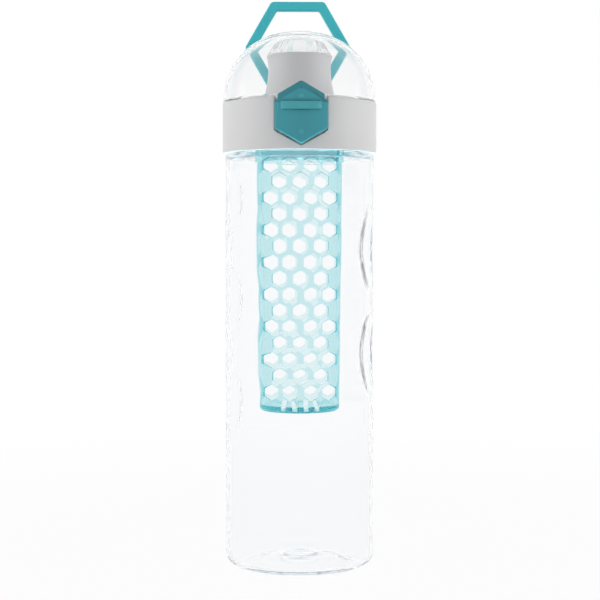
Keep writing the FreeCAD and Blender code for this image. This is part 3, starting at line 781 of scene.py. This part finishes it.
def makeBasket():
    bm = mergedCopy("infuser_basket")
    centres = holeCentres()
    share = basket["drawnFlats"] / basket["flats"]
    for vert in bm.verts:
        radius = math.hypot(vert.co.x, vert.co.y)
        for x, z in centres:
            if abs(flatsAcross(vert.co.x - x, vert.co.z - z) - basket["flats"]) < basket["near"]:
                side = 1 if vert.co.y > 0 else -1
                vert.co.x = x + (vert.co.x - x) * share
                vert.co.z = z + (vert.co.z - z) * share
                vert.co.y = side * math.sqrt(max(radius ** 2 - vert.co.x ** 2, 0))
                break
    low = basket["firstRow"]
    high = low + basket["rowPitch"] * (basket["rows"] - 1)
    bandTop = basket["bandTop"]
    keen = [edge for edge in keenEdges(bm) if not onMiddleLine(edge, low, high) and not onBandStep(edge)]
    rollEdges(bm, keen, basket["roll"], segments=3)
    for vert in bm.verts:
        # the tube opens a little towards its top
        rise = min((vert.co.z - low) / (high - low), (bandTop - vert.co.z) / (bandTop - high))
        share = 1 + basket["spread"] * max(rise, 0.0)
        vert.co.x *= share
        vert.co.y *= share
    return newPiece("honeycombBasket", bm, "infuser_basket")


makeBasket()


# Flip cover: spun dome, catch bar at the front, hinge arms at the back

cover = {
    "foot": 211.58,
    "rim": 212.95,
    "fullness": 2.16,
    "wall": 1.8,
    "ceiling": 241.0,
    "padRing": (8.2, 9.4),
    "padRingDrop": 0.6,
    "padRingMargin": 0.5,
    "points": 26,
    "steps": 180,
    "armInner": 2.6,
    "armWidth": 2.1,
    "armRoot": 33.7,
    "eye": (38.5, 216.0),
    "eyeRadius": 2.7,
    "eyeSides": 32,
    "armRoll": 0.2,
    "catchBack": 34.3,
    "catchThickness": 1.0,
    "catchWidth": 23.0,
    "catchFoot": 209.3,
    "catchHeight": 3.9,
    "catchCells": (24, 10),
    "catchKeen": 60.0,
    "catchRoll": 0.18,
    "slot": (4.2, 210.45, 212.45),
}


def domeCurve(radius, foot, rise, count):
    points = []
    for step in range(count + 1):
        angle = fullTurn / 4 * step / count
        points.append((radius * math.cos(angle) ** (2 / cover["fullness"]),
                       foot + rise * math.sin(angle) ** (2 / cover["fullness"])))
    return points


def makeDome():
    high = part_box("flip_cover")[1]
    radius = high[0] / mm
    top = high[2] / mm
    rim = cover["rim"]
    foot = cover["foot"]
    outer = domeCurve(radius, foot, top - foot, cover["points"])[:-1] + [(0, top)]
    inner = domeCurve(radius - cover["wall"], rim, top - rim - cover["wall"], cover["points"])[::-1]
    ringBore, ringRadius = cover["padRing"]
    ceiling = cover["ceiling"]
    drop = ceiling - cover["padRingDrop"]
    inner = [spot for spot in inner if spot[1] < ceiling and spot[0] > ringRadius + cover["padRingMargin"]]
    points = outer + [(0, ceiling), (ringBore, ceiling), (ringBore, drop), (ringRadius, drop),
                      (ringRadius, ceiling)] + inner
    bm = turnedForm(points + [outer[0]], {}, cover["steps"], closed=False)
    return newPiece("clearDome", bm, "flip_cover", sharp=40)


def makeArm(name, side):
    bm = bmesh.new()
    start = cover["armInner"] * side
    end = (cover["armInner"] + cover["armWidth"]) * side
    eyeY, eyeZ = cover["eye"]
    for x in (start, end):
        ring = bmesh.ops.create_circle(bm, segments=cover["eyeSides"], radius=cover["eyeRadius"])["verts"]
        for vert in ring:
            vert.co = (x, eyeY + vert.co.x, eyeZ + vert.co.y)
        for z in (eyeZ - cover["eyeRadius"], eyeZ + cover["eyeRadius"]):
            bm.verts.new((x, cover["armRoot"], z))
    bmesh.ops.delete(bm, geom=bm.edges[:], context="EDGES_FACES")
    bmesh.ops.convex_hull(bm, input=bm.verts[:])
    bmesh.ops.recalc_face_normals(bm, faces=bm.faces)
    rollEdges(bm, keenEdges(bm), cover["armRoll"])
    return newPiece(name, bm, "flip_cover", replaced=False)


def makeCatch():
    bm = bmesh.new()
    across, upwards = cover["catchCells"]
    bmesh.ops.create_grid(bm, x_segments=across, y_segments=upwards, size=0.5)
    bmesh.ops.scale(bm, vec=(cover["catchWidth"], cover["catchHeight"], 1), verts=bm.verts)
    bmesh.ops.translate(bm, verts=bm.verts, vec=(0, cover["catchFoot"] + cover["catchHeight"] / 2, 0))
    half, slotLow, slotHigh = cover["slot"]
    opened = []
    for face in bm.faces:
        spot = face.calc_center_median()
        if abs(spot.x) < half and slotLow < spot.y < slotHigh:
            opened.append(face)
    bmesh.ops.delete(bm, geom=opened, context="FACES")
    bmesh.ops.solidify(bm, geom=bm.faces[:], thickness=cover["catchThickness"])
    deepest = min(vert.co.z for vert in bm.verts)
    for vert in bm.verts:
        angle = vert.co.x / cover["catchBack"]
        radius = cover["catchBack"] + vert.co.z - deepest
        vert.co = (radius * math.sin(angle), -radius * math.cos(angle), vert.co.y)
    bmesh.ops.recalc_face_normals(bm, faces=bm.faces)
    rollEdges(bm, keenEdges(bm, cover["catchKeen"]), cover["catchRoll"])
    return newPiece("catchBar", bm, "flip_cover", replaced=False)


makeDome()
makeArm("leftArm", -1)
makeArm("rightArm", 1)
makeCatch()


# Mouthpiece and the silicone rings

spout = {
    "bore": 6.5,
    "base": 14.8,
    "tip": 11.0,
    "stem": 8.2,
    "flange": 9.9,
    "flangeHeight": 1.6,
    "flutes": 14,
    "fluteDepth": 0.5,
    "fluteShare": 0.22,
    "fluteLip": 0.6,
    "gap": 0.02,
    "rounds": {0: 0.3, 1: 0.4, 2: 0.3, 5: 0.5, 6: 1.1, 7: 0.8},
    "row": 0.6,
    "steps": 168,
}
rings = {
    "flangeSeal": {"node": "rim_seal", "bore": 20.3, "roll": 0.45},
    "lidGasket": {"node": "lid_gasket", "bore": 21.0, "roll": 0.35},
    "steps": 144,
}
pad = {
    "rounds": {1: 0.35, 2: 0.2},
    "steps": 96,
}


def makeMouthpiece():
    low, high = (corner[2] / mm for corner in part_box("mouthpiece"))
    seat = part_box("lid_body")[1][2] / mm
    points = [
        (spout["bore"], low),
        (spout["flange"], low),
        (spout["flange"], low + spout["flangeHeight"]),
        (spout["stem"], low + spout["flangeHeight"]),
        (spout["stem"], seat + spout["gap"]),
        (spout["base"], seat + spout["gap"]),
        (spout["tip"], high - spout["gap"]),
        (spout["bore"], high - spout["gap"]),
    ]
    bm = turnedForm(points, spout["rounds"], spout["steps"], spout["row"])
    for vert in bm.verts:
        x, y, z = vert.co
        radius = math.hypot(x, y)
        share = math.remainder(math.atan2(y, x) / fullTurn * spout["flutes"], 1.0)
        groove = 1 - blendStep(abs(share), 0.0, spout["fluteShare"])
        outward = blendStep(radius, spout["stem"], spout["tip"] - spout["fluteLip"])
        if z > seat and outward > 0:
            scale = 1 - spout["fluteDepth"] * groove * outward / radius
            vert.co.x = x * scale
            vert.co.y = y * scale
    return newPiece("drinkingSpout", bm, "mouthpiece", sharp=60)


def makeRing(name):
    ring = rings[name]
    low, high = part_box(ring["node"])
    bore, radius = ring["bore"], high[0] / mm
    bottom, top = low[2] / mm, high[2] / mm
    points = [(bore, bottom), (radius, bottom), (radius, top), (bore, top)]
    bm = turnedForm(points, dict.fromkeys(range(4), ring["roll"]), rings["steps"])
    return newPiece(name, bm, ring["node"], sharp=50)


def makePad():
    low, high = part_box("mouth_pad")
    radius = high[0] / mm
    bottom, top = low[2] / mm, high[2] / mm
    points = [(0, bottom), (radius, bottom), (radius, top), (0, top)]
    bm = turnedForm(points, pad["rounds"], pad["steps"], closed=False)
    return newPiece("spoutPad", bm, "mouth_pad", sharp=50)


makeMouthpiece()
makeRing("flangeSeal")
makeRing("lidGasket")
makePad()


# Springs: a ring of wire spun along its axis, with straight tails

coils = {
    "cover_spring": {"start": (-1.6625, 38.5, 213.35), "way": (0, 1, 0), "axis": (1, 0, 0),
                     "centre": (0, 38.5, 216.0), "pitch": 0.95, "turns": 3.5, "tails": (3.0, 3.0)},
    "latch_spring": {"start": (1.5, -30.85, 194.3), "way": (0, 0, 1), "axis": (0, -1, 0),
                     "centre": (0, 0, 194.3), "pitch": 0.96, "turns": 5.0, "tails": (0.5, 0.5)},
    "wire": 0.5,
    "turnSteps": 28,
    "wireSides": 12,
}


def makeSpring(name, node):
    coil = coils[node]
    axis = Vector(coil["axis"])
    way = Vector(coil["way"])
    firstTail, lastTail = coil["tails"]
    steps = round(coil["turns"] * coils["turnSteps"])
    bm = bmesh.new()
    bmesh.ops.create_circle(bm, segments=coils["wireSides"], radius=coils["wire"] / 2)
    turn = Vector((0, 0, 1)).rotation_difference(way).to_matrix()
    bmesh.ops.rotate(bm, verts=bm.verts, cent=(0, 0, 0), matrix=turn)
    bmesh.ops.translate(bm, verts=bm.verts, vec=Vector(coil["start"]) - way * firstTail)
    tip = bmesh.ops.extrude_edge_only(bm, edges=bm.edges[:])["geom"]
    ring = [part for part in tip if isinstance(part, bmesh.types.BMVert)]
    bmesh.ops.translate(bm, verts=ring, vec=way * firstTail)
    loop = [edge for edge in tip
            if isinstance(edge, bmesh.types.BMEdge) and all(vert in ring for vert in edge.verts)]
    wound = bmesh.ops.spin(bm, geom=ring + loop, cent=coil["centre"], axis=axis,
                           angle=fullTurn * coil["turns"],
                           dvec=axis * coil["pitch"] * coil["turns"] / steps, steps=steps)["geom_last"]
    last = [edge for edge in wound if isinstance(edge, bmesh.types.BMEdge)]
    tip = bmesh.ops.extrude_edge_only(bm, edges=last)["geom"]
    ring = [part for part in tip if isinstance(part, bmesh.types.BMVert)]
    away = way if coil["turns"] % 1 == 0 else -way
    bmesh.ops.translate(bm, verts=ring, vec=away * lastTail)
    bmesh.ops.holes_fill(bm, edges=[edge for edge in bm.edges if edge.is_boundary], sides=0)
    bmesh.ops.recalc_face_normals(bm, faces=bm.faces)
    print(name, "closed", all(edge.is_manifold for edge in bm.edges))
    return newPiece(name, bm, node, sharp=50)


makeSpring("hingeSpring", "cover_spring")
buttonSpring = makeSpring("buttonSpring", "latch_spring")
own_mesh(buttonSpring)


# Studio

studio = {
    "distance": 0.713,
    "cameraHeight": 0.1424,
    "cameraTurn": -1.2,
    "cameraPitch": 88.337,
    "cameraSide": 0.0002,
    "lens": 93.0,
    "aim": (0, 0, 0.15),
    "sideLamp": 5.0,
    "sideLampPlace": (0.9, -0.15, 0.3),
    "sideLampSize": (0.6, 1.0),
    "topLamp": 0.4,
    "topLampPlace": (0, 0.1, 1.1),
    "topLampSize": (1.0, 0.8),
    "innerLamp": 0.2,
    "innerLampPlace": (0, 0, 0.1),
    "innerLampSize": (0.04, 0.04),
    "skyLow": 1.0,
    "skyHigh": 0.25,
    "floorHalf": 6.0,
    "floorGlow": 0.94,
    "glowNear": 0.15,
    "glowFar": 0.6,
    "floorTone": (0.95, 0.95, 0.95),
    "floorGloss": 0.06,
    "floorRoughness": 0.1,
    "bounces": 40,
}


def rayMask(tree, place):
    # 1 for rays that should meet a plain white studio
    paths = addNode(tree, "ShaderNodeLightPath", place)
    first = addNode(tree, "ShaderNodeMath", (place[0] + 200, place[1]), operation="MAXIMUM")
    both = addNode(tree, "ShaderNodeMath", (place[0] + 400, place[1]), operation="MAXIMUM")
    tree.links.new(paths.outputs["Is Camera Ray"], first.inputs[0])
    tree.links.new(paths.outputs["Is Glossy Ray"], first.inputs[1])
    tree.links.new(first.outputs[0], both.inputs[0])
    tree.links.new(paths.outputs["Is Transmission Ray"], both.inputs[1])
    return both.outputs[0]


def makeWorld():
    world = bpy.data.worlds.new("studio")
    world.use_nodes = True
    tree = world.node_tree
    tree.nodes.clear()
    output = addNode(tree, "ShaderNodeOutputWorld", (600, 0))
    fill = addNode(tree, "ShaderNodeBackground", (0, 100))
    white = addNode(tree, "ShaderNodeBackground", (0, -100))
    white.inputs["Strength"].default_value = 1.0
    white.inputs["Color"].default_value = (1, 1, 1, 1)
    coords = addNode(tree, "ShaderNodeTexCoord", (-700, 0))
    split = addNode(tree, "ShaderNodeSeparateXYZ", (-500, 0))
    sky = addNode(tree, "ShaderNodeMapRange", (-300, 0))
    sky.inputs["To Min"].default_value = studio["skyLow"]
    sky.inputs["To Max"].default_value = studio["skyHigh"]
    mix = addNode(tree, "ShaderNodeMixShader", (300, 0))
    tree.links.new(coords.outputs["Generated"], split.inputs[0])
    tree.links.new(split.outputs["Z"], sky.inputs["Value"])
    tree.links.new(sky.outputs["Result"], fill.inputs["Strength"])
    tree.links.new(rayMask(tree, (-600, 300)), mix.inputs[0])
    tree.links.new(fill.outputs[0], mix.inputs[1])
    tree.links.new(white.outputs[0], mix.inputs[2])
    tree.links.new(mix.outputs[0], output.inputs["Surface"])
    bpy.context.scene.world = world


def makeFloor():
    bm = bmesh.new()
    bmesh.ops.create_grid(bm, x_segments=1, y_segments=1, size=studio["floorHalf"])
    mesh = bpy.data.meshes.new("floor")
    bm.to_mesh(mesh)
    bm.free()
    floor = bpy.data.objects.new("floor", mesh)
    bpy.context.scene.collection.objects.link(floor)
    material, tree, output = blankMaterial("paleFloor")
    matt = addNode(tree, "ShaderNodeBsdfDiffuse", (0, 100))
    matt.inputs["Color"].default_value = (*studio["floorTone"], 1)
    gloss = addNode(tree, "ShaderNodeBsdfGlossy", (0, -50))
    gloss.inputs["Roughness"].default_value = studio["floorRoughness"]
    polished = addNode(tree, "ShaderNodeMixShader", (200, 100))
    polished.inputs[0].default_value = studio["floorGloss"]
    glow = addNode(tree, "ShaderNodeEmission", (0, -200))
    coords = addNode(tree, "ShaderNodeTexCoord", (-800, -200))
    away = addNode(tree, "ShaderNodeVectorMath", (-600, -200), operation="LENGTH")
    share = addNode(tree, "ShaderNodeMapRange", (-400, -200), interpolation_type="SMOOTHSTEP")
    share.inputs["From Min"].default_value = studio["glowNear"]
    share.inputs["From Max"].default_value = studio["glowFar"]
    share.inputs["To Min"].default_value = studio["floorGlow"]
    part = addNode(tree, "ShaderNodeMath", (0, 300), operation="MULTIPLY")
    mix = addNode(tree, "ShaderNodeMixShader", (500, 0))
    link = tree.links.new
    link(coords.outputs["Object"], away.inputs[0])
    link(away.outputs["Value"], share.inputs["Value"])
    link(rayMask(tree, (-600, 300)), part.inputs[0])
    link(share.outputs["Result"], part.inputs[1])
    link(part.outputs[0], mix.inputs[0])
    link(matt.outputs[0], polished.inputs[1])
    link(gloss.outputs[0], polished.inputs[2])
    link(polished.outputs[0], mix.inputs[1])
    link(glow.outputs[0], mix.inputs[2])
    link(mix.outputs[0], output.inputs["Surface"])
    mesh.materials.append(material)


def addLamp(name, place, target, size, power):
    light = bpy.data.lights.new(name, "AREA")
    light.shape = "RECTANGLE"
    light.size, light.size_y = size
    light.energy = power
    lamp = bpy.data.objects.new(name, light)
    lamp.location = place
    lamp.rotation_euler = (Vector(target) - Vector(place)).to_track_quat("-Z", "Y").to_euler()
    lamp.visible_camera = False
    lamp.visible_glossy = False
    lamp.visible_transmission = False
    bpy.context.scene.collection.objects.link(lamp)


def makeCamera():
    camera = bpy.data.cameras.new("camera")
    camera.lens = studio["lens"]
    camera.sensor_width = 36.0
    camera.clip_start = 0.01
    view = bpy.data.objects.new("camera", camera)
    turn = math.radians(studio["cameraTurn"])
    view.location = (studio["cameraSide"] + studio["distance"] * math.sin(turn),
                     -studio["distance"] * math.cos(turn), studio["cameraHeight"])
    view.rotation_euler = (math.radians(studio["cameraPitch"]), 0, turn)
    bpy.context.scene.collection.objects.link(view)
    bpy.context.scene.camera = view


makeWorld()
makeFloor()
right, front, up = studio["sideLampPlace"]
addLamp("leftLamp", (-right, front, up), studio["aim"], studio["sideLampSize"], studio["sideLamp"])
addLamp("rightLamp", (right, front, up), studio["aim"], studio["sideLampSize"], studio["sideLamp"])
addLamp("topLamp", studio["topLampPlace"], studio["aim"], studio["topLampSize"], studio["topLamp"])
addLamp("innerLamp", studio["innerLampPlace"], studio["aim"], studio["innerLampSize"], studio["innerLamp"])
makeCamera()
scene = bpy.context.scene
scene.view_settings.view_transform = "Standard"
# clear walls pass a ray on many times
scene.cycles.max_bounces = studio["bounces"]
scene.cycles.glossy_bounces = studio["bounces"]
scene.cycles.transmission_bounces = studio["bounces"]
scene.cycles.transparent_max_bounces = studio["bounces"]
print("studio ready")
